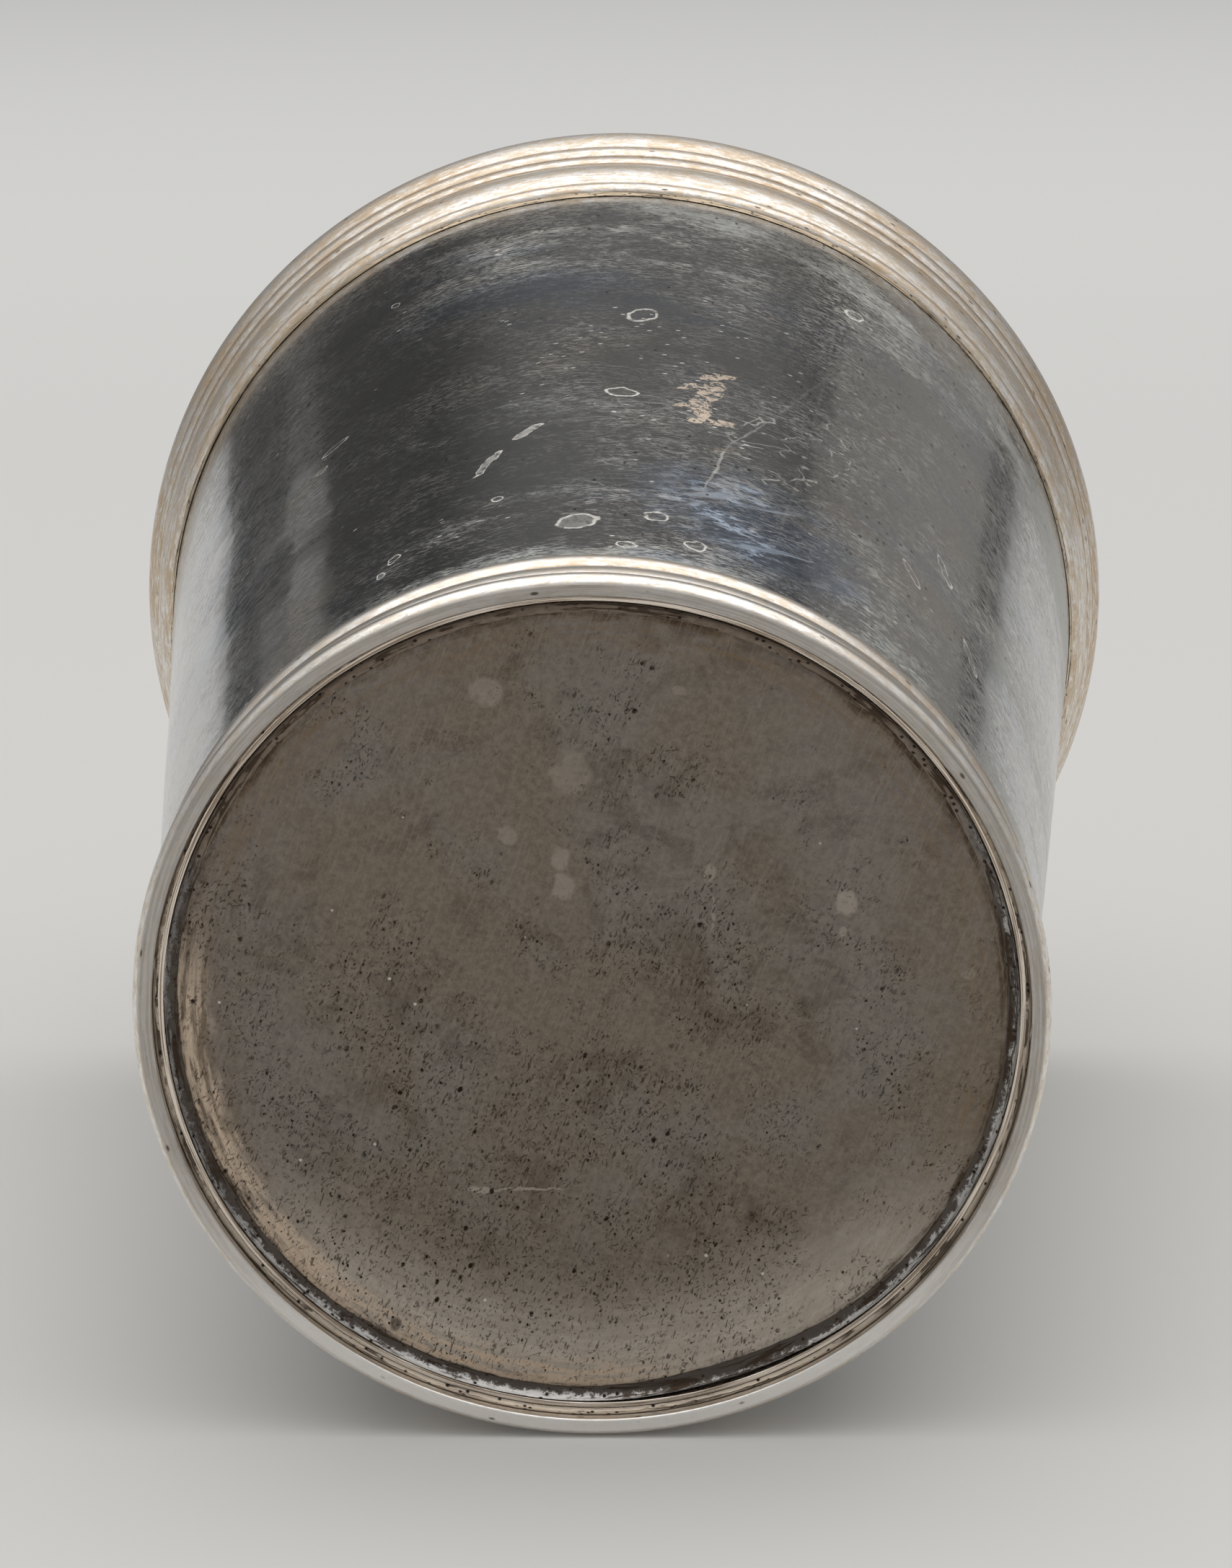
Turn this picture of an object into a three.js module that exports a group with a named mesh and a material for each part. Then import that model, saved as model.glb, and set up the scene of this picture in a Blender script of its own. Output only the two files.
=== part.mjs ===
// A julep cup in silver, as a silversmith builds one: a tapered body of sheet, a flat bottom let
// into it above its lower edge, a reeded moulding round the foot and a broader one round the lip,
// and the solder that holds them.
// Millimetres, +Z up. The origin is the centre of the plane that the foot stands on.

import * as THREE from "three";

// The whole cup.
const cupHeight = 95.25;

// The body: one sheet, turned into a straight taper. Its radii are those of its outer face.
const bodyRadiusAtFoot = 28.4;
const bodyRadiusAtLip = 36.5;
const wallThickness = 0.7;
const wallEdgeSetback = 1.25;
const wallTopSetback = 0.15;
const wallTopRound = 0.35;

// The bottom: a disc, set up into the body, and raised a little at its middle.
const bottomSetback = 1.9;
const bottomThickness = 1;
const bottomRise = 0.35;

// Pieces that are soldered face to face stand this far apart.
const solderFilm = 0.05;

// The fillets of solder that show in the corners: up the wall or moulding, and along the disc or edge.
const bottomFilletHeight = 0.55;
const bottomFilletWidth = 0.85;
const footFilletHeight = 0.4;
const footFilletWidth = 0.35;
const lipFilletHeight = 0.35;
const lipFilletWidth = 0.25;
const filletHollowShare = 0.12;

// The foot moulding: a flat rim to stand on, then three reeds, listed upwards. Each reed has a
// share of their whole height. It ends in a groove or edge, where the metal has a share of the
// rim's width, and its crest stands proud by a share of the reed's own height.
const footRimChamfer = 0.12;
const footRimWidth = 0.82;
const footReedsHeight = 6.6;
const footReedShares = [
  { height: 0.28, depthAtEnd: 0.61, proud: 0.35 },
  { height: 0.395, depthAtEnd: 0.44, proud: 0.16 },
  { height: 0.325, depthAtEnd: 0.1, proud: 0.25 },
];

// The lip moulding, listed upwards in the same way, with depths as shares of its depth at the lip:
// a small bead, a broad swelling, two fine reeds and the flaring band under the lip.
const lipDepth = 2.14;
const lipStartDepth = 0.1;
const lipReedsHeight = 9.3;
const lipReedShares = [
  { height: 0.11, depthAtEnd: 0.29, proud: 0.34 },
  { height: 0.405, depthAtEnd: 0.46, proud: 0.12 },
  { height: 0.13, depthAtEnd: 0.55, proud: 0.18 },
  { height: 0.13, depthAtEnd: 0.76, proud: 0.17 },
  { height: 0.225, depthAtEnd: 1, proud: 0.08 },
];
const lipRoundHeight = 0.72;
const lipRoundWidth = 0.8;
const lipTopFall = 0.12;

// How finely the turned faces are divided.
const turnSteps = 72;
const reedSteps = 6;
const fineSteps = 4;

// The finishes: silver gone dark on the body, rubbed bright on the mouldings and dull underneath.
const bodyFinish = { color: 0x8f9398, roughness: 0.22, metalness: 1 };
const mouldingFinish = { color: 0xd9d2c8, roughness: 0.3, metalness: 1 };
const bottomFinish = { color: 0x6f6862, roughness: 0.5, metalness: 1 };
const solderFinish = { color: 0x9c9a98, roughness: 0.45, metalness: 1 };

// A quarter circle stands this share of its radius proud of the line between its two ends.
const quarterArcShare = 1 - Math.SQRT1_2;

/** Radius of the body's outer face at a height. */
function wallOuter(height) {
  return bodyRadiusAtFoot + ((bodyRadiusAtLip - bodyRadiusAtFoot) * height) / cupHeight;
}

/** Radius of the body's inner face at a height. */
function wallInner(height) {
  return wallOuter(height) - wallThickness;
}

/** Radius of a moulding's inner face at a height, where it lies against the body. */
function mouldingInner(height) {
  return wallOuter(height) + solderFilm;
}

/** Point of a profile, from its radius and its height. */
function point(radius, height) {
  return new THREE.Vector2(radius, height);
}

/**
 * Points of a round arc after its start, up to its end. It stands proud of the straight line
 * between them, on the right of the way from start to end, or on the left where proud is below 0.
 */
function arcAfter(start, end, proud, steps) {
  const chord = end.clone().sub(start);
  const right = point(chord.y, -chord.x).normalize();
  const halfTurn = 2 * Math.atan((2 * proud) / chord.length());
  const arcRadius = chord.length() / (2 * Math.sin(halfTurn));
  const middle = start.clone().lerp(end, 1 / 2);
  const centre = middle.addScaledVector(right, -arcRadius * Math.cos(halfTurn));
  const spoke = start.clone().sub(centre);
  const points = [];
  for (let step = 1; step < steps; step += 1) {
    const turn = (2 * halfTurn * step) / steps;
    points.push(spoke.clone().rotateAround(point(0, 0), turn).add(centre));
  }
  points.push(end.clone());
  return points;
}

/** Points of a stack of reeds after its start: one arc a reed, each ending at its own depth. */
function reedsAfter(start, reedShares, stackHeight, depth) {
  const points = [];
  let from = start;
  for (const share of reedShares) {
    const reedHeight = share.height * stackHeight;
    const height = from.y + reedHeight;
    const to = point(wallOuter(height) + share.depthAtEnd * depth, height);
    points.push(...arcAfter(from, to, share.proud * reedHeight, reedSteps));
    from = to;
  }
  return points;
}

/** Solid turned about the cup's axis from a profile that closes on itself or ends on the axis. */
function turned(name, profile, finish) {
  const geometry = new THREE.LatheGeometry(profile, turnSteps);
  geometry.rotateX(Math.PI / 2);
  const mesh = new THREE.Mesh(geometry, new THREE.MeshStandardMaterial(finish));
  mesh.name = name;
  return mesh;
}

/** A profile with its first point repeated at the end, so that it closes on itself. */
function closed(points) {
  return [...points, points[0].clone()];
}

/** The body: a straight tapered wall, cut square at the foot and rounded over inside the lip. */
function bodyWall() {
  const top = cupHeight - wallTopSetback;
  const bottom = wallEdgeSetback;
  const roundStart = point(wallOuter(top) - wallThickness + wallTopRound, top);
  const roundEnd = point(wallInner(top - wallTopRound), top - wallTopRound);
  return closed([
    point(wallOuter(bottom), bottom),
    point(wallOuter(top), top),
    roundStart,
    ...arcAfter(roundStart, roundEnd, quarterArcShare * wallTopRound, fineSteps),
    point(wallInner(bottom), bottom),
  ]);
}

/** The bottom: a thin disc that fits the taper of the wall and rises slightly to its middle. */
function bottomDisc() {
  const lower = bottomSetback;
  const upper = bottomSetback + bottomThickness;
  const lowerMiddle = point(0, lower + bottomRise);
  const lowerEdge = point(wallInner(lower) - solderFilm, lower);
  const upperEdge = point(wallInner(upper) - solderFilm, upper);
  const upperMiddle = point(0, upper + bottomRise);
  return [
    lowerMiddle,
    ...domeAfter(lowerMiddle, lowerEdge),
    ...domeAfter(upperMiddle, upperEdge).reverse(),
    upperMiddle,
  ];
}

/** Points of a shallow dome from its middle out to its edge, level at the middle. */
function domeAfter(middle, edge) {
  const points = [];
  for (let step = 1; step <= fineSteps; step += 1) {
    const out = step / fineSteps;
    points.push(point(edge.x * out, middle.y + (edge.y - middle.y) * out * out));
  }
  return points;
}

/** The foot moulding: a flat rim to stand on and three half-round reeds, tapering out at the top. */
function footMoulding() {
  const rimInner = point(mouldingInner(0) + footRimChamfer, 0);
  const rimOuter = point(mouldingInner(0) + footRimWidth, 0);
  return closed([
    point(mouldingInner(footRimChamfer), footRimChamfer),
    rimInner,
    rimOuter,
    ...reedsAfter(rimOuter, footReedShares, footReedsHeight, footRimWidth),
    point(mouldingInner(footReedsHeight), footReedsHeight),
  ]);
}

/** Height of the lip moulding's lower edge. */
function lipBottom() {
  return cupHeight - lipRoundHeight - lipReedsHeight;
}

/** The lip moulding: reeds that stand out further as they rise, rolled over at the lip. */
function lipMoulding() {
  const bottom = lipBottom();
  const start = point(wallOuter(bottom) + lipStartDepth, bottom);
  const reeds = reedsAfter(start, lipReedShares, lipReedsHeight, lipDepth);
  const crest = reeds[reeds.length - 1];
  const rollEnd = point(crest.x - lipRoundWidth, cupHeight);
  return closed([
    point(mouldingInner(bottom), bottom),
    start,
    ...reeds,
    ...arcAfter(crest, rollEnd, quarterArcShare * lipRoundWidth, reedSteps),
    point(mouldingInner(cupHeight - lipTopFall), cupHeight - lipTopFall),
  ]);
}

/** Fillet of solder in the corner between the wall's inner face and the underside of the bottom. */
function bottomSolder() {
  const top = bottomSetback - solderFilm;
  const low = top - bottomFilletHeight;
  const corner = point(wallInner(top) - solderFilm, top);
  const onWall = point(wallInner(low) - solderFilm, low);
  const onDisc = point(corner.x - bottomFilletWidth, top);
  return closed([onWall, corner, onDisc, ...hollowAfter(onDisc, onWall)]);
}

/** Fillet of solder under the wall's lower edge, against the inner face of the foot moulding. */
function footSolder() {
  const top = wallEdgeSetback - solderFilm;
  const low = top - footFilletHeight;
  const corner = point(wallOuter(top), top);
  const onMoulding = point(wallOuter(low), low);
  const onEdge = point(corner.x - footFilletWidth, top);
  return closed([onMoulding, corner, onEdge, ...hollowAfter(onEdge, onMoulding)]);
}

/** Fillet of solder under the lip moulding, against the outer face of the body. */
function lipSolder() {
  const top = lipBottom() - solderFilm;
  const low = top - lipFilletHeight;
  const corner = point(mouldingInner(top), top);
  const onWall = point(mouldingInner(low), low);
  const onMoulding = point(corner.x + lipFilletWidth, top);
  return closed([onWall, ...hollowAfter(onWall, onMoulding), corner]);
}

/** Points of a fillet's hollow face after its start. */
function hollowAfter(start, end) {
  return arcAfter(start, end, -filletHollowShare * start.distanceTo(end), fineSteps);
}

const cup = new THREE.Group();
cup.add(
  turned("body_wall", bodyWall(), bodyFinish),
  turned("bottom_disc", bottomDisc(), bottomFinish),
  turned("foot_moulding", footMoulding(), mouldingFinish),
  turned("lip_moulding", lipMoulding(), mouldingFinish),
  turned("bottom_solder", bottomSolder(), solderFinish),
  turned("foot_moulding_solder", footSolder(), solderFinish),
  turned("lip_moulding_solder", lipSolder(), solderFinish),
);

export default cup;
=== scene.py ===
"""A julep cup in old silver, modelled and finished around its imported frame.

The cup is a tapered body with a bottom let into it, a reeded moulding round the foot, a broader
one round the lip, and the solder that holds them. Each piece is turned from its half section,
knocked a little out of true and given its tarnish. Sizes are in millimetres, and each finished
mesh is brought to metres. The main view sees the cup on its side, from underneath.
"""

import functools
import logging
import math
import random
from collections.abc import Iterable
from dataclasses import dataclass, field
from enum import Enum

import bmesh
import bpy
from mathutils import Matrix, Vector, noise


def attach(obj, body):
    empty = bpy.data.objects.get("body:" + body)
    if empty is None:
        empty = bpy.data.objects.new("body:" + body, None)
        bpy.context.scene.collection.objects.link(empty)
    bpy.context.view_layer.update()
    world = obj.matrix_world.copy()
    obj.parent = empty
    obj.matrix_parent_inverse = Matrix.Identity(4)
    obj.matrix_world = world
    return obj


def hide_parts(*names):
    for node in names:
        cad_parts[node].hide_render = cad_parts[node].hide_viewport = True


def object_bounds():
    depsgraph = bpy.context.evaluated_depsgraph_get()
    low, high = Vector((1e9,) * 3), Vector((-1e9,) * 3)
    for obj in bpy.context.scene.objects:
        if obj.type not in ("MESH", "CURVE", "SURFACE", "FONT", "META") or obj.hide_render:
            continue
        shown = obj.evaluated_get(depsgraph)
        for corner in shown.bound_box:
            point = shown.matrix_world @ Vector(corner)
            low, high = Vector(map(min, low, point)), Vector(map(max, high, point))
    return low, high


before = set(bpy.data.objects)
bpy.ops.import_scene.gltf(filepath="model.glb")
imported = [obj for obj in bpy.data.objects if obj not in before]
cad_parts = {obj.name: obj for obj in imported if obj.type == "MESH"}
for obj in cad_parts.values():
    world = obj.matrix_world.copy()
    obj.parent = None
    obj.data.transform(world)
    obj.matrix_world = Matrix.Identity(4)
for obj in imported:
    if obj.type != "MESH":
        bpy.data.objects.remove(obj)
cad_low, cad_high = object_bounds()

MM = 0.001
ONE_BODY = "root"
SOLDER_FILM = 0.05
QUARTER_ARC_SHARE = 1 - math.sqrt(0.5)
WHOLE_TURN = 2 * math.pi
WEDGES = 12
BUMP_END = 3
SAME_POINT = 1e-5
SAME_SEAM_POINT = 1e-4
RING_SLANT = 1.7

log = logging.getLogger("julep_cup")

Colour = tuple[float, float, float, float]
Triple = tuple[float, float, float]
Span = tuple[float, float]
Curve = tuple[Span, ...]
Socket = bpy.types.NodeSocket
Material = bpy.types.Material
Item = bpy.types.Object
Solid = bmesh.types.BMesh
Corner = bmesh.types.BMVert


def rows_of(kind: type, *rows: tuple) -> tuple:
    """Returns one object of a kind for each row of its values."""
    return tuple(kind(*row) for row in rows)


def fall_off(distance: float, reach: float) -> float:
    """Returns a smooth bump's height, 1 at its centre and near 0 past twice its reach."""
    return math.exp(-((distance / reach) ** 2))


def added(name: str, data: bpy.types.ID) -> Item:
    """Adds an object of a mesh, lamp or camera to the scene and returns it."""
    item = bpy.data.objects.new(name, data)
    bpy.context.scene.collection.objects.link(item)
    return item


def mesh_of(solid: Solid, name: str, material: Material) -> bpy.types.Mesh:
    """Returns a mesh in one finish, made of a solid that is used up."""
    mesh = bpy.data.meshes.new(name)
    solid.to_mesh(mesh)
    solid.free()
    mesh.materials.append(material)
    return mesh


@dataclass(frozen=True)
class Taper:
    """The straight taper of the body, which the rings and the bottom follow.

    Attributes:
        foot_radius: Radius of the outer face in the plane of the foot.
        lip_radius: Radius of the outer face at the lip.
        height: Height of the cup.
        thickness: Thickness of the sheet.
    """

    foot_radius: float = 28.4
    lip_radius: float = 36.5
    height: float = (cad_high.z - cad_low.z) / MM
    thickness: float = 0.7

    def outer(self, height: float) -> float:
        """Returns the radius of the body's outer face at a height."""
        return self.foot_radius + (self.lip_radius - self.foot_radius) * height / self.height

    def inner(self, height: float) -> float:
        """Returns the radius of the body's inner face at a height."""
        return self.outer(height) - self.thickness

    def bed(self, height: float) -> float:
        """Returns the radius at which a ring lies against the body's outer face."""
        return self.outer(height) + SOLDER_FILM

    def place(self, angle: float, height: float) -> Vector:
        """Returns a point of the outer face.

        Args:
            angle: Degrees round the cup, from -Y towards +X.
            height: Height above the foot.
        """
        turn = math.radians(angle)
        radius = self.outer(height)
        return Vector((radius * math.sin(turn), -radius * math.cos(turn), height))


class Section:
    """The half section of a turned piece: drawn in the XZ plane, then spun about the Z axis."""

    def __init__(self, radius: float, height: float) -> None:
        """Starts the outline at a radius and a height."""
        self.mesh = bmesh.new()
        self.tip = self.mesh.verts.new((radius, 0, height))

    def line(self, radius: float, height: float, cuts: int = 0) -> None:
        """Draws a straight stretch to a point.

        Args:
            radius: Radius of its end.
            height: Height of its end.
            cuts: Points put in between, so that dents can bend it.
        """
        start, end = self.tip.co.copy(), Vector((radius, 0, height))
        for step in range(1, cuts + 2):
            self.tip = bmesh.ops.extrude_vert_indiv(self.mesh, verts=[self.tip])["verts"][0]
            self.tip.co = start.lerp(end, step / (cuts + 1))

    def arc(self, radius: float, height: float, proud: float, steps: int) -> None:
        """Draws a round arc to a point.

        Args:
            radius: Radius of its end.
            height: Height of its end.
            proud: How far it stands from its chord, to the right of the way, or left below 0.
            steps: Number of straight stretches that it is made of.
        """
        start, end = self.tip.co.copy(), Vector((radius, 0, height))
        chord = end - start
        right = Vector((chord.z, 0, -chord.x)).normalized()
        half_turn = 2 * math.atan(2 * proud / chord.length)
        arc_radius = chord.length / (2 * math.sin(half_turn))
        centre = (start + end) / 2 - right * arc_radius * math.cos(half_turn)
        spun = bmesh.ops.spin(self.mesh, geom=[self.tip], cent=centre, axis=(0, -1, 0),
                              angle=2 * half_turn, steps=steps, use_merge=False)
        self.tip = next(part for part in spun["geom_last"] if isinstance(part, Corner))
        self.tip.co = end

    def turn(self, steps: int, closed: bool = True) -> Solid:
        """Spins the outline through one wedge and repeats that wedge, into a solid.

        Args:
            steps: Number of divisions round the axis.
            closed: Whether the outline is first joined from its end back to its start.

        Returns:
            The solid, in millimetres.
        """
        solid = self.mesh
        solid.verts.ensure_lookup_table()
        if closed:
            solid.edges.new((self.tip, solid.verts[0]))
        bmesh.ops.remove_doubles(solid, verts=solid.verts, dist=SAME_POINT)
        wedge = WHOLE_TURN / WEDGES
        bmesh.ops.spin(solid, geom=solid.verts[:] + solid.edges[:], cent=(0, 0, 0), axis=(0, 0, 1),
                       angle=wedge, steps=steps // WEDGES, use_merge=False)
        first = solid.verts[:] + solid.edges[:] + solid.faces[:]
        for count in range(1, WEDGES):
            copy = bmesh.ops.duplicate(solid, geom=first)["geom"]
            corners = [part for part in copy if isinstance(part, Corner)]
            bmesh.ops.rotate(solid, verts=corners, matrix=Matrix.Rotation(count * wedge, 3, "Z"))
        bmesh.ops.remove_doubles(solid, verts=solid.verts, dist=SAME_SEAM_POINT)
        bmesh.ops.recalc_face_normals(solid, faces=solid.faces)
        return solid


@dataclass(frozen=True)
class Dent:
    """A shallow knock in the sheet or in a reed.

    Attributes:
        angle: Degrees round the cup, from -Y towards +X.
        height: Height of its centre.
        reach: How far it spreads.
        depth: How deep it is at its centre.
    """

    angle: float
    height: float
    reach: float
    depth: float


@dataclass(frozen=True)
class Wear:
    """How far years of use have brought the cup out of true, alike for every piece.

    Attributes:
        sway: Deepest draw-in of the round shape.
        lobes: How many times the round shape swells and sinks, roughly.
        climb: How fast the sway changes up the cup, per millimetre.
    """

    sway: float = 0.09
    lobes: float = 1.4
    climb: float = 0.012

    def drawn_in(self, spot: Vector) -> float:
        """Returns how far the point of a perfect cup moves towards the axis."""
        ring = Vector((spot.x, spot.y, 0)).normalized() * self.lobes
        ring.z = spot.z * self.climb
        return self.sway * (noise.noise(ring) + 1) / 2

    def settle(self, solid: Solid, taper: Taper, dents: Iterable[Dent] = ()) -> None:
        """Moves a solid's points to their worn places.

        Args:
            solid: The solid, in millimetres.
            taper: The body's taper, on which the dents lie.
            dents: Knocks that only this piece has.
        """
        knocks = [(taper.place(dent.angle, dent.height), dent) for dent in dents]
        for vert in solid.verts:
            away = Vector((vert.co.x, vert.co.y, 0))
            if away.length < SOLDER_FILM:
                continue
            inward = self.drawn_in(vert.co)
            for centre, dent in knocks:
                distance = (vert.co - centre).length
                if distance < BUMP_END * dent.reach:
                    inward += dent.depth * fall_off(distance, dent.reach)
            vert.co -= away.normalized() * inward


def lumps(spot: Vector, size: float, depth: int = 3) -> float:
    """Returns a rough surface's height, about -1 to 1, with its largest lumps of the size given."""
    return noise.fractal(spot / size, 1.0, 2.0, depth)


class Slot(Enum):
    """The record's material slots."""

    BODY = "body_silver"
    BOTTOM = "bottom_silver"
    MOULDING = "moulding_silver"
    SOLDER = "silver_solder"


@dataclass(frozen=True)
class Level:
    """A number that differs from point to point, and that plain sums can be done with.

    Attributes:
        work: The nodes that it comes from.
        socket: Its output there.
    """

    work: "NodeWork"
    socket: Socket

    def __add__(self, other: "Level | float") -> "Level":
        """Returns the two added."""
        return self.work.sum("ADD", self, other)

    def __sub__(self, other: "Level | float") -> "Level":
        """Returns what is left when the other is taken away."""
        return self.work.sum("SUBTRACT", self, other)

    def __mul__(self, other: "Level | float") -> "Level":
        """Returns the two multiplied."""
        return self.work.sum("MULTIPLY", self, other)

    def between(self, low: float, high: float, least: float = 0, most: float = 1,
                kind: str = "SMOOTHSTEP") -> "Level":
        """Returns a level that runs from least to most as this one goes from low to high."""
        feeds = {"Value": self, "From Min": low, "From Max": high, "To Min": least, "To Max": most}
        return self.work.level("MapRange", feeds, interpolation_type=kind)


Feed = Socket | Level | float | tuple


class NodeWork:
    """Shader nodes, added one by one to a tree."""

    def __init__(self, tree: bpy.types.NodeTree) -> None:
        """Takes the tree to build in."""
        self.tree = tree

    def plug(self, feed: Feed, hole: Socket) -> None:
        """Links an output to an input, or sets the input to a plain value."""
        if isinstance(feed, Level):
            feed = feed.socket
        if isinstance(feed, Socket):
            self.tree.links.new(feed, hole)
        else:
            hole.default_value = feed

    def add(self, kind: str, feeds: dict[str | int, Feed] | None = None, **settings: object
            ) -> bpy.types.Node:
        """Adds a node.

        Args:
            kind: Its type, without the word ShaderNode before it.
            feeds: What goes into its inputs: an output to link, or a value to set.
            settings: Its other properties.

        Returns:
            The new node.
        """
        node = self.tree.nodes.new("ShaderNode" + kind)
        for name, value in settings.items():
            setattr(node, name, value)
        for key, feed in (feeds or {}).items():
            self.plug(feed, node.inputs[key])
        return node

    def level(self, kind: str, feeds: dict[str | int, Feed], output: int | str = 0,
              **settings: object) -> Level:
        """Adds a node and returns one of its outputs as a level."""
        return Level(self, self.add(kind, feeds, **settings).outputs[output])

    def sum(self, kind: str, one: Feed, other: Feed = 0.0, clamp: bool = False) -> Level:
        """Returns a sum of two values, of the named kind."""
        return self.level("Math", {0: one, 1: other}, operation=kind, use_clamp=clamp)

    def along(self, kind: str, one: Feed, other: Feed | None = None) -> Level:
        """Returns the named measure of one or two vectors."""
        feeds = {0: one} if other is None else {0: one, 1: other}
        return self.level("VectorMath", feeds, "Value", operation=kind)


class Recipe(NodeWork):
    """One material, built around a metal shader."""

    def __init__(self, name: str, metallic: float = 1.0) -> None:
        """Makes the material with its shader and its place in millimetres."""
        self.material = bpy.data.materials.new(name)
        self.material.use_nodes = True
        super().__init__(self.material.node_tree)
        self.tree.nodes.clear()
        self.shader = self.add("BsdfPrincipled", {"Metallic": metallic})
        self.output = self.add("OutputMaterial", {"Surface": self.shader.outputs[0]})
        place = self.add("TexCoord").outputs["Object"]
        self.place = self.measured((MM, MM, MM), place=place)
        parts = self.add("SeparateXYZ", {0: self.place}).outputs
        self.x, self.y, self.height = (Level(self, part) for part in parts)
        flat = self.add("CombineXYZ", {0: self.x, 1: self.y}).outputs[0]
        self.radius = self.along("LENGTH", flat)

    def measured(self, sizes: Triple, lean: Triple = (0, 0, 0), place: Socket | None = None,
                 centre: Feed = (0, 0, 0)) -> Socket:
        """Returns a place seen from a centre, along leaning axes.

        Args:
            sizes: The length along each axis that counts as 1.
            lean: Degrees that the axes lean.
            place: The place, or the one in millimetres.
            centre: The centre.
        """
        feeds = {0: place or self.place, "Location": centre, "Scale": sizes,
                 "Rotation": tuple(math.radians(angle) for angle in lean)}
        return self.add("Mapping", feeds, vector_type="TEXTURE").outputs[0]

    def reach(self, centre: Vector, size: Triple, turn: float = 0, tilt: float = 0,
              place: Socket | None = None) -> Level:
        """Returns the distance from a spot's centre, 1 at its edge, where its half sizes end."""
        return self.along("LENGTH", self.measured(size, (0, tilt, turn), place, centre))

    def rings(self, along: float, across: float) -> Socket:
        """Returns a place for noise that is drawn out round the cup's axis, as turning leaves it."""
        over = self.radius + self.height * RING_SLANT
        place = self.add("CombineXYZ", {0: self.x, 1: self.y, 2: over}).outputs[0]
        return self.measured((along, along, across), place=place)

    def noise(self, size: float, detail: float = 3, rough: float = 0.5, bend: float = 0,
              place: Socket | None = None) -> Level:
        """Returns cloudy noise from 0 to 1, with its largest clouds of the size given."""
        feeds = {"Vector": place or self.place, "Scale": 1 / size, "Detail": detail,
                 "Roughness": rough, "Distortion": bend}
        return self.level("TexNoise", feeds)

    def turned(self, along: float, across: float, detail: float, rough: float, bend: float = 0
               ) -> Level:
        """Returns noise drawn out round the cup, of a size along and across the turned lines."""
        return self.noise(1, detail, rough, bend, self.rings(along, across))

    def dots(self, edge: Span, chosen: Span, size: float = 1, place: Socket | None = None,
             strength: float = 1) -> Level:
        """Returns scattered dots.

        Args:
            edge: Distances from its middle where a dot fades out and where it is full.
            chosen: Of each point's random number: under the first no dot, over the second a full one.
            size: Distance between the points, roughly, in the place's own units.
            place: Where to read them, or the place in millimetres.
            strength: How strong a full dot is.
        """
        feeds = {"Vector": place or self.place, "Scale": 1 / size}
        points = self.add("TexVoronoi", feeds).outputs
        near = Level(self, points["Distance"]).between(*edge)
        return near * Level(self, points["Color"]).between(*chosen, 0, strength)

    def ramp(self, value: Level, stops: Curve) -> Level:
        """Returns a value read off a curve of places from 0 to 1 and the levels there."""
        node = self.add("ValToRGB", {0: value})
        elements = node.color_ramp.elements
        while len(elements) < len(stops):
            elements.new(0.5)
        for element, (place, level) in zip(elements, stops):
            element.position = place
            element.color = (level, level, level, 1)
        return Level(self, node.outputs[0])

    def pushed(self, size: float, depth: float) -> Socket:
        """Returns the place in millimetres, pushed about by noise."""
        feeds = {"Vector": self.place, "Scale": 1 / size, "Detail": 2.0}
        clouds = self.add("TexNoise", feeds)
        push = clouds.outputs["Color"]
        for kind, feeds in (("SUBTRACT", {1: (0.5, 0.5, 0.5)}), ("SCALE", {"Scale": 2 * depth}),
                            ("ADD", {1: self.place})):
            push = self.add("VectorMath", {0: push, **feeds}, operation=kind).outputs[0]
        return push

    def hairs(self, layer: "Hairs") -> Level:
        """Returns a layer of fine scratches."""
        long, wide = layer.length, layer.width
        sizes = (wide, long, long) if layer.flat else (long, long, wide)
        lines = self.noise(1, 1, 0.5, 0, self.measured(sizes, layer.lean))
        return lines.between(layer.low, layer.high, 0, layer.strength)

    def most(self, *levels: Level) -> Level:
        """Returns the largest of several levels."""
        return functools.reduce(lambda one, other: self.sum("MAXIMUM", one, other), levels)

    def blend(self, share: Feed, one: Feed, other: Feed) -> Socket:
        """Returns two colours mixed: the first at share 0, the other at share 1."""
        return self.add("Mix", {0: share, 6: one, 7: other}, data_type="RGBA").outputs[2]

    def coated(self, colour: Feed, coats: tuple[tuple[Level, Feed], ...]) -> Feed:
        """Returns a colour under coats of others, each as thick as its own level says."""
        for share, coat in coats:
            colour = self.blend(share, colour, coat)
        return colour

    def relief(self, height: Level, strength: float, depth: float, below: Socket | None = None
               ) -> Socket:
        """Returns the surface's tilt from a height map.

        Args:
            height: The map.
            strength: How much of it shows.
            depth: Depth that a step of 1 in the map has, in millimetres.
            below: Coarser relief that it lies on.
        """
        feeds = {"Height": height, "Strength": strength, "Distance": depth * MM}
        if below is not None:
            feeds["Normal"] = below
        return self.add("Bump", feeds).outputs[0]

    def finish(self, colour: Feed, roughness: Feed, normal: Feed) -> Material:
        """Gives the shader its colour, roughness and relief, and returns the material."""
        for name, feed in (("Base Color", colour), ("Roughness", roughness), ("Normal", normal)):
            self.plug(feed, self.shader.inputs[name])
        return self.material


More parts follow.
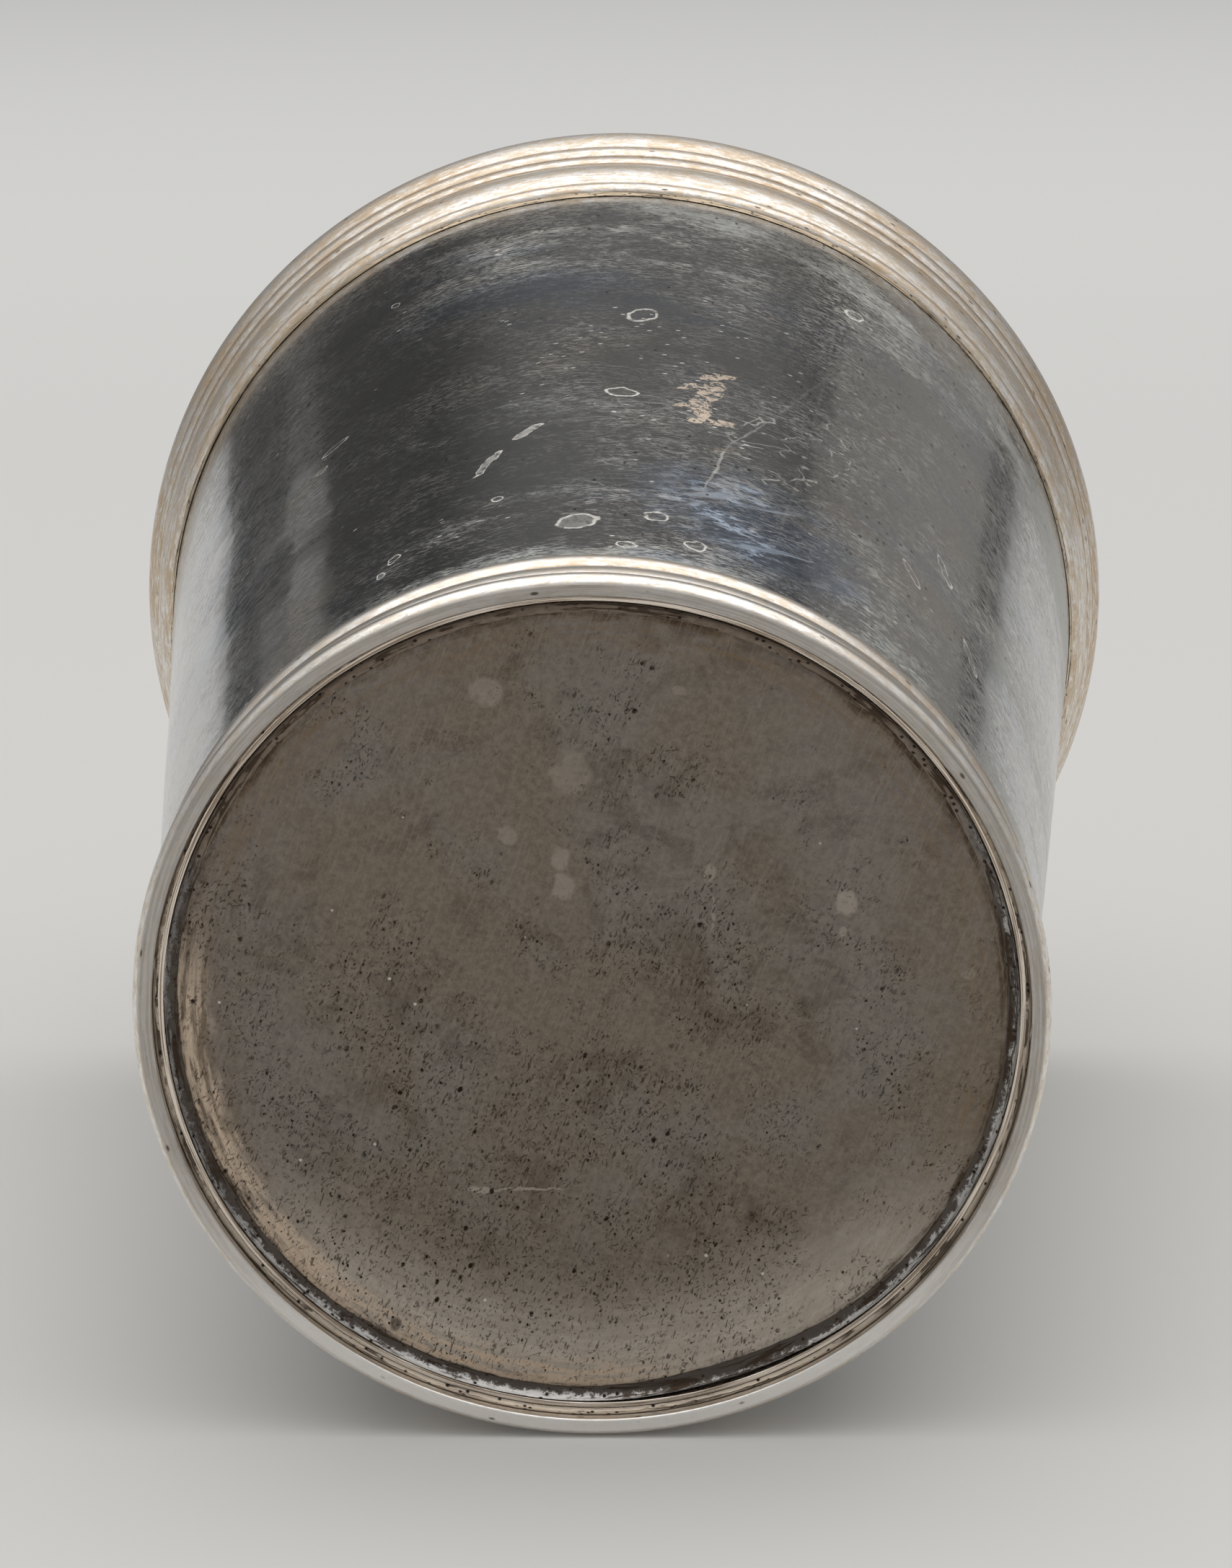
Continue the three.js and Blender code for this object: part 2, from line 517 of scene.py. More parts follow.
@dataclass(frozen=True)
class Hairs:
    """A layer of the fine scratches that wiping leaves.

    Attributes:
        lean: Degrees that they lean, about each axis.
        length: How long they are, roughly.
        width: How broad they are with the space between, roughly.
        low: Noise level at which one starts to show.
        high: Noise level at which it shows in full.
        strength: How strongly it shows there.
        flat: Whether they run across the bottom, along +Y, and not round the body.
    """

    lean: Triple
    length: float
    width: float
    low: float = 0.59
    high: float = 0.72
    strength: float = 1.0
    flat: bool = False


@dataclass(frozen=True)
class WaterMark:
    """A pale mark on the body: a dried drop, a score, or a part of the rubbed patch.

    Attributes:
        angle: Degrees round the cup, from -Y towards +X.
        height: Height of its centre.
        across: Half its size round the cup.
        up: Half its size up the cup.
        tilt: Degrees that it leans towards +X.
        filled: How pale its middle is beside its outline, from 0 to 1.
    """

    angle: float
    height: float
    across: float
    up: float
    tilt: float = 0.0
    filled: float = 0.12

    def away(self, recipe: Recipe, taper: Taper, depth: float, place: Socket) -> Level:
        """Returns the distance from its centre, 1 at its edge, of a mark that reaches so deep."""
        size = (self.across, depth, self.up)
        return recipe.reach(taper.place(self.angle, self.height), size, self.angle, self.tilt, place)


@dataclass(frozen=True)
class BodySilver:
    """Silver sheet gone dark: a mirror under a grey haze, with hairlines and water marks. The haze's
    paler and darker bands are partly painted reflection.
    """

    dark: Colour = (0.37, 0.37, 0.375, 1)
    pale: Colour = (0.51, 0.53, 0.505, 1)
    blue: Colour = (0.25, 0.31, 0.43, 1)
    mist: Colour = (0.55, 0.65, 0.79, 1)
    brown: Colour = (0.44, 0.38, 0.31, 1)
    scratch: Colour = (0.66, 0.64, 0.60, 1)
    fleck: Colour = (0.07, 0.06, 0.05, 1)
    mark: Colour = (0.95, 0.92, 0.87, 1)
    tan: Colour = (0.84, 0.71, 0.59, 1)
    inner: Colour = (0.68, 0.665, 0.635, 1)
    edge: Colour = (0.78, 0.70, 0.61, 1)
    edge_line: Colour = (0.22, 0.16, 0.11, 1)
    edge_top: float = 2.2
    marks: tuple[WaterMark, ...] = rows_of(
        WaterMark, (4.3, 56.4, 1.05, 1.6, 25), (2.4, 39.2, 1.15, 0.9, 10),
        (-14.1, 27.4, 0.36, 2.1, 24, 0.75), (-9.2, 32.2, 0.4, 1.5, 36, 0.8),
        (-36.6, 46.2, 1.2, 0.4, -14, 0.3), (-38.6, 43.2, 0.6, 0.35, -14, 0.6),
        (-1.9, 13.8, 1.25, 1.5, 30, 0.6), (8.1, 15.4, 0.85, 0.9, 8), (4.4, 9.7, 0.8, 0.5, 4),
        (13.4, 11.3, 0.7, 0.85, 20), (31.8, 71.6, 0.8, 1.1, 30), (-28.5, 71.1, 0.35, 0.6, -20),
        (-12.4, 19.9, 0.35, 0.5), (-26.5, 15.2, 0.4, 0.7, 20), (-28.2, 13.2, 0.35, 0.5, 20, 0.4),
        (49.5, 33.8, 0.4, 2.0, -25), (44.0, 27.0, 0.4, 1.6, -28), (56.0, 24.0, 0.4, 2.0, -24, 0.3),
        (150.0, 60.0, 1.2, 1.6, 12), (196.0, 33.0, 1.0, 1.3, -18, 0.4), (228.0, 71.0, 0.6, 1.0, 25),
        (118.0, 18.0, 0.8, 1.3, -15, 0.5), (132.0, 44.0, 0.4, 1.4, 30, 0.5), (176.0, 14.0, 1.0, 0.8, 6),
        (181.5, 19.0, 0.6, 0.6, 0, 0.3), (214.0, 52.0, 0.35, 1.7, -26, 0.7),
    )
    mark_depth: float = 6.0
    scores: tuple[WaterMark, ...] = rows_of(
        WaterMark, (29.2, 66.9, 0.12, 10.5, 1, 0.22), (27.8, 45.6, 0.11, 10.7, 3, 0.28),
        (25.4, 26.1, 0.11, 8.9, 5, 0.28), (15.2, 27.0, 0.1, 5.2, 8, 0.6),
        (19.3, 35.9, 0.1, 4.0, 21, 0.55), (26.5, 49.4, 0.09, 10.0, 15, 0.35),
        (21.7, 34.4, 0.1, 2.3, 63, 0.6), (17.6, 56.9, 0.07, 2.0, 88, 0.6),
        (60.0, 52.0, 0.08, 6.0, -12, 0.3), (-24.0, 60.0, 0.06, 3.0, 80, 0.4),
        (166.0, 48.0, 0.08, 7.0, 30, 0.5), (240.0, 36.0, 0.08, 5.0, -40, 0.5),
        (140.0, 28.0, 0.07, 6.0, 62, 0.5), (198.0, 66.0, 0.07, 5.0, 48, 0.45),
    )
    rubs: tuple[WaterMark, ...] = rows_of(
        WaterMark, (14.4, 45.2, 0.5, 1.9, 50, 1), (13.6, 41.6, 0.85, 2.7, 12, 1),
        (12.6, 38.2, 0.7, 2.3, -4, 1), (11.2, 42.0, 0.4, 1.5, 48, 1), (11.0, 38.0, 0.4, 1.2, 60, 1),
        (14.2, 35.6, 0.6, 1.9, 70, 1), (16.6, 31.0, 0.3, 1.6, 40, 0.5),
    )
    hairs: tuple[Hairs, ...] = rows_of(
        Hairs, ((2, -3, 0), 3.5, 0.13, 0.6, 0.72, 0.7), ((-5, 6, 0), 1.3, 0.12, 0.57, 0.7),
        ((9, -10, 0), 1.0, 0.11, 0.57, 0.7), ((-14, -16, 0), 0.8, 0.11, 0.58, 0.71),
        ((26, 24, 0), 0.7, 0.11, 0.59, 0.72, 0.9), ((-48, 44, 0), 0.8, 0.11, 0.61, 0.74, 0.9),
    )
    # Haze up the cup: partly real dullness, partly painted reflection of pale and dark surroundings.
    haze_and_reflection_levels: Curve = (
        (0.07, 0.85), (0.14, 0.55), (0.22, 0.4), (0.3, 0.32), (0.4, 0.34), (0.5, 0.14), (0.6, 0.22),
        (0.7, 0.46), (0.79, 0.66), (0.84, 0.74), (0.89, 0.5),
    )

    def dress(self, taper: Taper) -> Material:
        """Returns the material, with its marks placed on the body's taper."""
        recipe = Recipe("body_silver")
        slope = (taper.lip_radius - taper.foot_radius) / taper.height
        lean = recipe.radius - recipe.height * slope
        outside = lean.between(taper.foot_radius - 0.4, taper.foot_radius - 0.3)
        # The haze's colour is partly real dullness and partly painted reflection.
        haze = self.haze(recipe, taper) * outside.between(0, 1, 0.3, 1)
        hairs = self.hairlines(recipe) * outside.between(0, 1, 0.35, 1)
        scores = self.patches(recipe, taper, self.scores, recipe.pushed(1.6, 0.25))
        marks = recipe.most(self.water_marks(recipe, taper), self.cracks(recipe, taper), scores,
                            self.sparks(recipe, taper))
        marks *= outside
        rub = self.rubbed_patch(recipe, taper) * outside
        pool = recipe.reach(taper.place(21, 18.5), (9.5, 8, 8), 21, 60).between(1.2, 0.5)
        high_pool = recipe.reach(taper.place(-12, 64), (11, 8, 4), -12).between(1.3, 0.4, 0, 0.55)
        cloud = recipe.noise(1, 4, 0.6, 0.4, recipe.measured((22, 22, 9), (-9, 12, 0)))
        bluing = recipe.most(cloud.between(0.52, 0.66, 0, 0.4), pool * cloud.between(0.3, 0.5, 0.7, 1))
        bluing = recipe.most(bluing, high_pool)
        wisps = recipe.noise(1, 5, 0.7, 0.5, recipe.measured((8, 8, 1.7), (14, -20, 0)))
        wisps = recipe.most(wisps.between(0.5, 0.62), haze.between(0.08, 0.34))
        misty = pool * wisps
        browned = recipe.noise(12, 5, 0.65, 0.4).between(0.53, 0.68, 0, 0.45)
        wiped = haze.between(0, 0.3, 0.95, 0.7)
        worn = recipe.most(hairs * 0.8, marks, rub, misty * 0.8)
        rough = haze.between(0, 0.9, 0.05, 0.46) + worn * 0.42
        rough += outside.between(0, 1, 0.17, 0)
        normal = recipe.relief(recipe.noise(8, 2), 0.35, 0.2)
        normal = recipe.relief(hairs, 0.5, 0.006, normal)
        colour = recipe.coated(self.dark, (
            (haze, self.pale),
            (bluing, self.blue),
            (misty, self.mist),
            (browned, self.brown),
            (outside.between(1, 0) * wiped, self.inner),
            (hairs * 0.68, self.scratch),
            (self.flecks(recipe) * outside, self.fleck),
            (marks, self.mark),
            (rub, self.tan),
            (recipe.height.between(self.edge_top, self.edge_top - 0.5), self.lower_edge(recipe)),
        ))
        return recipe.finish(colour, rough, normal)

    def lower_edge(self, recipe: Recipe) -> Socket:
        """Returns the colour of the sheet's cut edge: pale, with dark turned lines."""
        lines = recipe.turned(9, 0.11, 3, 0.6).between(0.42, 0.6, 0, 0.9)
        return recipe.blend(lines, self.edge, self.edge_line)

    def haze(self, recipe: Recipe, taper: Taper) -> Level:
        """Returns how dull the silver is: streaky, and palest under the lip and over the foot. Its
        levels are partly painted reflection, and it is cut as painted dark reflection at the left,
        along a strip and in one patch.
        """
        share = recipe.height.between(0, taper.height, kind="LINEAR")
        level = recipe.ramp(share, self.haze_and_reflection_levels)
        # Painted dark reflection: less haze, so a darker sheet, at the left, along a strip at x 14 and
        # in one patch.
        painted_dark_zones = recipe.x.between(-25, 0, 0.25, 1)
        streaks = recipe.noise(1, 5, 0.55, 0.5, recipe.measured((16, 16, 6.5), (6, 9, 0)))
        fine = recipe.noise(1, 4, 0.75, 0, recipe.measured((0.7, 0.7, 0.25), (-4, 5, 0)))
        swirls = recipe.noise(1, 4, 0.7, 0.6, recipe.measured((5, 5, 1.6), (10, -12, 0)))
        cloud = streaks.between(0.36, 0.66, 0.15, 1.0) + fine.between(0.36, 0.64, -0.16, 0.32)
        cloud += swirls.between(0.36, 0.64, -0.22, 0.22)
        painted_dark_strip = recipe.sum("ABSOLUTE", recipe.x - 14.0).between(0.5, 5, 0.5, 1)
        painted_dark_zones *= painted_dark_strip
        painted_dark_patch = recipe.reach(taper.place(-6, 54), (17, 9, 9)).between(1.3, 0.4, 1, 0.45)
        painted_dark_zones *= painted_dark_patch
        return recipe.sum("MULTIPLY", level * painted_dark_zones, cloud, True)

    def hairlines(self, recipe: Recipe) -> Level:
        """Returns the wiping scratches: fine lines round the cup, leaning a few ways."""
        worn = recipe.noise(11, 4, 0.65).between(0.36, 0.62, 0.5, 1)
        worn *= recipe.x.between(-19, 0, 0.75, 1)
        worn += recipe.x.between(8, 18, 0, 0.35)
        return recipe.most(*(recipe.hairs(layer) for layer in self.hairs)) * worn

    def patches(self, recipe: Recipe, taper: Taper, marks: tuple[WaterMark, ...], place: Socket
                ) -> Level:
        """Returns where marks lie that are filled alike up to their edge."""
        return recipe.most(*(
            mark.away(recipe, taper, self.mark_depth, place).between(1.15, 0.9, 0, mark.filled)
            for mark in marks))

    def water_marks(self, recipe: Recipe, taper: Taper) -> Level:
        """Returns where dried drops whiten the silver."""
        place = recipe.pushed(1.3, 0.45)
        rings = []
        for mark in self.marks:
            away = mark.away(recipe, taper, self.mark_depth, place)
            middle = away.between(1, 0.85, 0, mark.filled)
            outline = away.between(0.76, 0.9) * away.between(1.12, 1.0)
            rings.append(recipe.most(middle, outline))
        patchy = recipe.noise(0.8, 3, 0.7).between(0.3, 0.5, 0.45, 1)
        return recipe.most(*rings) * patchy

    def cracks(self, recipe: Recipe, taper: Taper) -> Level:
        """Returns a web of fine pale lines, beside the rubbed patch."""
        feeds = {"Vector": recipe.pushed(2.4, 1.2), "Scale": 0.3}
        web = recipe.level("TexVoronoi", feeds, "Distance", feature="DISTANCE_TO_EDGE")
        away = recipe.reach(taper.place(26, 36), (6.5, self.mark_depth, 15), 26, 12)
        lines = web.between(0.03, 0.012) * away.between(1.1, 0.5)
        return lines * recipe.noise(1.9, 3).between(0.4, 0.56, 0, 0.8)

    def rubbed_patch(self, recipe: Recipe, taper: Taper) -> Level:
        """Returns the one patch where the tarnish is rubbed through to a tan stain."""
        whole = self.patches(recipe, taper, self.rubs, recipe.pushed(0.8, 0.5))
        return whole * recipe.noise(0.7, 5, 0.75, 1.2).between(0.46, 0.5)

    def sparks(self, recipe: Recipe, taper: Taper) -> Level:
        """Returns tiny bright nicks, drawn out round the cup and thickest at its middle height."""
        place = recipe.measured((1.25, 1.25, 0.6), (8, -12, 0))
        dots = recipe.dots((0.2, 0.12), (0.5, 0.52), 1, place, 0.95)
        near = recipe.reach(taper.place(14, 48), (17, 20, 20)).between(1.2, 0.4, -0.05, 0.13)
        return dots * (recipe.noise(6, 4, 0.65) + near).between(0.47, 0.6)

    def flecks(self, recipe: Recipe) -> Level:
        """Returns small black specks, in drifts."""
        dots = recipe.dots((0.2, 0.1), (0.55, 0.59), 0.8, recipe.measured((1, 1, 1.8), (20, 0, 0)))
        drifts = recipe.noise(9, 3, 0.6) + recipe.height.between(60, 78, 0, 0.06)
        drifts += recipe.x.between(10, 20, 0, 0.09)
        return dots * drifts.between(0.5, 0.62)


@dataclass(frozen=True)
class MouldingSilver:
    """Satin silver, pale and warm on the reeds, with tan tarnish left in the grooves.

    Attributes:
        name: The material's name.
        low: Height of the moulding's lower edge.
        high: Height of its upper edge.
        stains: How stained it is at shares of that height, from 0 to 1.
        rough: How dull its satin is.
        rim_top: Height under which it is the worn rim that the cup stands on.
    """

    name: str
    low: float
    high: float
    stains: Curve
    rough: float = 0.34
    rim_top: float = -1.0
    rim: Colour = (0.32, 0.30, 0.275, 1)
    crest: Colour = (0.90, 0.885, 0.865, 1)
    cream: Colour = (0.79, 0.71, 0.61, 1)
    dull: Colour = (0.55, 0.51, 0.47, 1)
    tan: Colour = (0.60, 0.43, 0.26, 1)
    groove: Colour = (0.20, 0.14, 0.09, 1)
    speck: Colour = (0.08, 0.06, 0.045, 1)

    def dress(self) -> Material:
        """Returns the material. It reads how hollow the surface is from the piece's own attribute."""
        recipe = Recipe(self.name)
        hollow = recipe.level("Attribute", {}, "Fac", attribute_name="hollow")
        share = recipe.height.between(self.low, self.high, kind="LINEAR")
        stain = recipe.ramp(share, self.stains) * self.blotches(recipe)
        lathe = recipe.turned(7, 0.16, 3, 0.6)
        milky = recipe.turned(1.7, 0.6, 6, 0.78, 0.5)
        grey_film = recipe.turned(0.9, 0.42, 5, 0.78, 0.3)
        grey_film = (grey_film.between(0.5, 0.62, 0, 0.74)
                     * recipe.noise(5, 3).between(0.35, 0.6, 0.35, 1))
        worn = recipe.height.between(self.rim_top, self.rim_top - 0.2, 0, 0.85)
        rim_lines_and_highlight = recipe.blend(lathe.between(0.4, 0.66, 0, 0.6), self.rim, self.dull)
        # Painted highlight: towards +Y the worn rim is painted in the pale crest colour.
        rim_lines_and_highlight = recipe.blend(recipe.y.between(8, 27, 0, 0.9), rim_lines_and_highlight, self.crest)
        specks = self.specks(recipe)
        rough = (milky.between(0.3, 0.7, self.rough - 0.05, self.rough + 0.06)
                 + recipe.most(stain, grey_film) * 0.12)
        normal = recipe.relief(recipe.noise(1.1, 5, 0.68), 0.38, 0.05)
        normal = recipe.relief(lathe - specks, 0.4, 0.012, normal)
        colour = recipe.coated(self.crest, (
            (milky.between(0.47, 0.53), self.cream),
            (grey_film, self.dull),
            (stain, self.tan),
            (lathe.between(0.56, 0.7, 0, 0.35), self.dull),
            (hollow.between(0.35, 1, 0, 0.85), self.groove),
            (worn, rim_lines_and_highlight),
            (specks, self.speck),
        ))
        return recipe.finish(colour, rough, normal)

    def blotches(self, recipe: Recipe) -> Level:
        """Returns where the tan stain is thick and where it is worn thin."""
        broad = recipe.noise(9, 4, 0.6).between(0.4, 0.6, 0.25, 1)
        fine = recipe.turned(1.6, 0.6, 6, 0.78, 0.4)
        return broad * fine.between(0.43, 0.54, 0.1, 1)

    def specks(self, recipe: Recipe) -> Level:
        """Returns small black nicks, drawn out round the cup."""
        return recipe.dots((0.24, 0.1), (0.77, 0.79), 1, recipe.rings(1.5, 0.75), 0.9)


@dataclass(frozen=True)
class BottomSpot:
    """A pale drop mark on the underside.

    Attributes:
        x: Its place along X.
        y: Its place along Y.
        half_x: Half its size along X.
        half_y: Half its size along Y.
        strength: How pale it is, from 0 to 1.
    """

    x: float
    y: float
    half_x: float
    half_y: float
    strength: float = 0.5


@dataclass(frozen=True)
class BottomSilver:
    """Dull grey-brown tarnish, pitted and scratched, with a few pale drop marks."""

    edge_radius: float
    upper_face: float = 2.6
    inner: Colour = (0.58, 0.565, 0.54, 1)
    warm: Colour = (0.172, 0.142, 0.111, 1)
    cool: Colour = (0.186, 0.166, 0.149, 1)
    deep: Colour = (0.055, 0.036, 0.022, 1)
    tan: Colour = (0.20, 0.145, 0.095, 1)
    bright: Colour = (0.30, 0.26, 0.215, 1)
    drop: Colour = (0.36, 0.32, 0.27, 1)
    # pale and rubbed are the colours of a painted sheen and a painted glint near the rim.
    pale: Colour = (0.55, 0.495, 0.43, 1)
    rubbed: Colour = (0.60, 0.48, 0.37, 1)
    pit: Colour = (0.030, 0.022, 0.015, 1)
    fleck: Colour = (0.75, 0.72, 0.66, 1)
    spots: tuple[BottomSpot, ...] = rows_of(
        BottomSpot, (-1.2, -15.95, 1.5, 1.7, 0.4), (-6.5, -21.5, 1.2, 1.1, 0.5),
        (16.5, -7.2, 0.85, 0.95, 0.9), (-1.9, -10.2, 0.75, 0.9, 0.6), (-1.7, -8.2, 0.85, 1.1, 0.6),
        (-5.3, -11.8, 0.65, 0.75, 0.5), (7.7, -9.2, 0.35, 0.8, 0.7), (5.8, -21.6, 0.55, 0.45, 0.45),
        (24.4, -2.4, 0.6, 0.4, 0.4), (16.4, -5.2, 0.35, 0.35, 0.7), (11.0, 12.0, 0.5, 0.6, 0.2),
        (-15.0, 4.5, 0.6, 0.5, 0.2), (-8.2, 2.1, 0.5, 0.6, 0.25), (-7.4, 12.85, 1.1, 0.24, 0.95),
        (-4.6, 12.8, 3.2, 0.13, 0.9), (7.9, -6.6, 0.14, 1.4, 0.6),
    )
    spot_depth: float = 4.0
    scratches: tuple[Hairs, ...] = rows_of(
        Hairs, ((0, 0, 19), 5, 0.16, 0.57, 0.72, 0.8, True),
        ((0, 0, 26), 3, 0.14, 0.58, 0.72, 0.8, True), ((0, 0, 12), 2.5, 0.14, 0.6, 0.74, 0.7, True),
        ((0, 0, 62), 1.6, 0.14, 0.63, 0.76, 0.6, True), ((0, 0, -40), 1.4, 0.12, 0.64, 0.76, 0.6, True),
    )
    cuts: tuple[Hairs, ...] = rows_of(
        Hairs, ((0, 0, 18), 0.7, 0.17, 0.63, 0.7, 0.8, True),
        ((0, 0, 35), 0.5, 0.16, 0.64, 0.72, 0.8, True),
        ((0, 0, 70), 0.45, 0.16, 0.65, 0.73, 0.75, True),
        ((0, 0, -30), 0.4, 0.16, 0.65, 0.73, 0.7, True),
    )

    def dress(self) -> Material:
        """Returns the material."""
        recipe = Recipe("bottom_silver")
        grain = recipe.noise(0.45, 5, 0.78)
        brushed = recipe.most(*(recipe.hairs(layer) for layer in self.scratches))
        stained = recipe.noise(4.5, 5, 0.7, 0.5).between(0.5, 0.66, 0, 0.34)
        pits = self.pits(recipe)
        dots = recipe.dots((0.09, 0.05), (0.7, 0.72), 1.6, strength=0.7)
        above = recipe.height.between(self.upper_face - 0.1, self.upper_face, 0, 0.85)
        rough = grain.between(0.3, 0.7, 0.54, 0.42) + pits * 0.2
        normal = recipe.relief(recipe.noise(6, 2), 0.3, 0.12)
        lines = brushed + grain - pits * 2.0
        colour = recipe.coated(self.warm, (
            (self.coolness(recipe), self.cool),
            (grain.between(0.34, 0.7, 0, 0.45), self.bright),
            (stained, self.deep),
        ))
        colour = self.edges(recipe, colour)
        colour = recipe.coated(colour, (
            (self.drops(recipe), self.drop),
            (brushed * 0.3, self.bright),
            (pits, self.pit),
            (dots, self.fleck),
            (above, self.inner),
        ))
        return recipe.finish(colour, rough, recipe.relief(lines, 0.5, 0.018, normal))

    def coolness(self, recipe: Recipe) -> Level:
        """Returns where it is cooler in tone: in clouds, at the left and at the lower right."""
        clouds = recipe.noise(11, 4, 0.55, 0.3)
        left = recipe.reach(Vector((-20, -4, 0)), (7, 14, 8)).between(1.2, 0.3, 0, 0.12)
        right = recipe.reach(Vector((17, 10, 0)), (6, 9, 8)).between(1.2, 0.3, 0, 0.1)
        zones = left + right + recipe.y.between(-6, -18, 0, 0.1)
        return (clouds + zones).between(0.46, 0.64)

    def edges(self, recipe: Recipe, colour: Socket) -> Socket:
        """Returns the colour with its rim: tan, with a painted sheen on the +Y side and a painted glint
        towards +Y and -X, then a brown line at the wall.
        """
        edge = self.edge_radius
        ragged = (recipe.noise(2.2, 5, 0.7) - 0.5) * 2.2
        streaks = recipe.turned(5, 0.45, 5, 0.7)
        away = recipe.radius + ragged
        tan = away.between(edge - 5, edge - 2) * streaks.between(0.4, 0.62)
        # Painted sheen: the rim is painted paler on the +Y side.
        lower = away.between(17.5, 25.8) * recipe.y.between(6, 24)
        lower *= streaks.between(0.3, 0.62, 1, 0.72)
        # Painted glint, not a rub: a pale band near the rim, towards +Y and -X.
        rub = away.between(edge - 3.4, edge - 2) * (recipe.y - recipe.x).between(16, 28)
        brown = recipe.most(streaks.between(0.42, 0.6, 0.2, 0.95), recipe.y.between(-12, -22, 0, 0.4))
        line = away.between(edge - 1.7, edge - 0.8)
        colour = recipe.coated(colour, (
            (tan * 0.7, self.tan),
            (lower, self.pale),
            (rub * streaks.between(0.62, 0.42), self.rubbed),
        ))
        return recipe.blend(line * brown, colour, self.deep)

    def drops(self, recipe: Recipe) -> Level:
        """Returns the pale drop marks and the one long rub."""
        marks = []
        place = recipe.pushed(0.9, 0.4)
        for spot in self.spots:
            size = (spot.half_x, spot.half_y, self.spot_depth)
            away = recipe.reach(Vector((spot.x, spot.y, 0)), size, place=place)
            marks.append(away.between(1.15, 0.85, 0, spot.strength))
        mottled = recipe.noise(0.5, 3, 0.7).between(0.3, 0.5, 0.5, 1)
        return recipe.most(*marks) * mottled

    def pits(self, recipe: Recipe) -> Level:
        """Returns dark pits and short cuts, thickest in drifts and on the +Y side of the middle."""
        layers = [recipe.hairs(layer) * 0.85 for layer in self.cuts]
        torn = recipe.pushed(0.3, 0.13)
        for lean, size, stretch, few in ((15, 0.4, 1.4, 0.5), (30, 0.75, 1.4, 0.7),
                                         (12, 1.9, 1.3, 0.84)):
            place = recipe.measured((1, stretch, 1), (0, 0, lean), torn)
            layers.append(recipe.dots((0.26, 0.12), (few, few + 0.1), size, place))
        drift = recipe.noise(6, 6, 0.75) + recipe.y.between(-20, 16, -0.06, 0.06)
        drift += recipe.x.between(-4, 16, 0.02, -0.03)
        return recipe.most(*layers) * drift.between(0.45, 0.59, 0.05, 1)


@dataclass(frozen=True)
class SolderSilver:
    """Solder that was never cleaned off: bright, rough and full of black pinholes, with painted light
    and shade.

    Attributes:
        name: The material's name.
        shade_radius: Radius within which it is painted black, as painted shade over the fillet's inner
            part.
        lit_angle: Degrees from +X towards +Y of the side painted brightest, as a painted highlight.
    """

    name: str
    shade_radius: float = 0.0
    lit_angle: float = 68.0
    bright: Colour = (0.55, 0.54, 0.525, 1)
    dull: Colour = (0.24, 0.235, 0.235, 1)
    brown: Colour = (0.24, 0.18, 0.13, 1)
    # Dark lines in the solder, and the colour of its painted shade.
    dirt_and_painted_shade: Colour = (0.045, 0.030, 0.020, 1)
    hole: Colour = (0.02, 0.017, 0.015, 1)

    def dress(self) -> Material:
        """Returns the material."""
        recipe = Recipe(self.name)
        tone = recipe.turned(0.8, 0.22, 5, 0.78, 0.4)
        # Painted highlight: the side towards lit_angle is painted brighter, with less painted shade.
        aslant = recipe.measured((1, 1, 1), (0, 0, self.lit_angle))
        lit = recipe.level("SeparateXYZ", {0: aslant})
        lit += recipe.noise(4, 4, 0.6).between(0.3, 0.7, -9, 9)
        low = lit.between(-8, 12, 0.46, 0.62)
        shine = (tone - low).between(0, 0.1)
        upper = recipe.y + recipe.noise(5, 4, 0.6).between(0.3, 0.7, -6, 6)
        holes = recipe.dots((0.36, 0.16), (0.55, 0.6), 1, recipe.rings(0.5, 0.3))
        inside = recipe.radius + tone.between(0.3, 0.7, -0.3, 0.3)
        inside += lit.between(2, 22, 0, 0.1)
        lines = recipe.turned(5, 0.14, 3, 0.65)
        # Painted shade: the fillet's inner part, next to the disc, is painted black, less so towards
        # -Y.
        shade = inside.between(self.shade_radius + 0.14, self.shade_radius - 0.12, 0, 0.9)
        shade *= upper.between(-17, -4, 0.35, 1)
        normal = recipe.relief(tone, 0.6, 0.05)
        colour = recipe.coated(self.bright, (
            (shine, self.dull),
            (upper.between(-4, -17, 0, 0.85), self.brown),
            (lines.between(0.5, 0.58, 0, 0.85), self.dirt_and_painted_shade),
            (holes, self.hole),
            (shade, self.dirt_and_painted_shade),
        ))
        return recipe.finish(colour, tone.between(0.3, 0.7, 0.3, 0.5), normal)


@dataclass
class CupPiece:
    """A piece of the cup: turned, worn, dressed and set in the place of its node.

    Attributes:
        taper: The body's taper.
        wear: How far the cup is out of true.
        steps: Divisions round the axis.
    """

    taper: Taper
    wear: Wear
    steps: int = 288

    def put(self, node: str, solid: Solid, material: Material, slot: Slot,
            crease: float = 32) -> Item:
        """Makes the finished object of a solid, and hides its node's own part.

        Args:
            node: The node's name, which the piece's name follows.
            solid: The solid, in millimetres. It is used up.
            material: Its finish.
            slot: The record's slot of that finish; not used.
            crease: Degrees past which an edge between two faces stays sharp.

        Returns:
            The object, in metres.
        """
        bmesh.ops.scale(solid, vec=(MM, MM, MM), verts=solid.verts)
        mesh = mesh_of(solid, node + "_worn", material)
        mesh.shade_smooth()
        mesh.set_sharp_from_angle(angle=math.radians(crease))
        piece = added(mesh.name, mesh)
        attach(piece, ONE_BODY)
        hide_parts(node)
        log.info("%s: %d points, stands for %s", piece.name, len(mesh.vertices), node)
        return piece


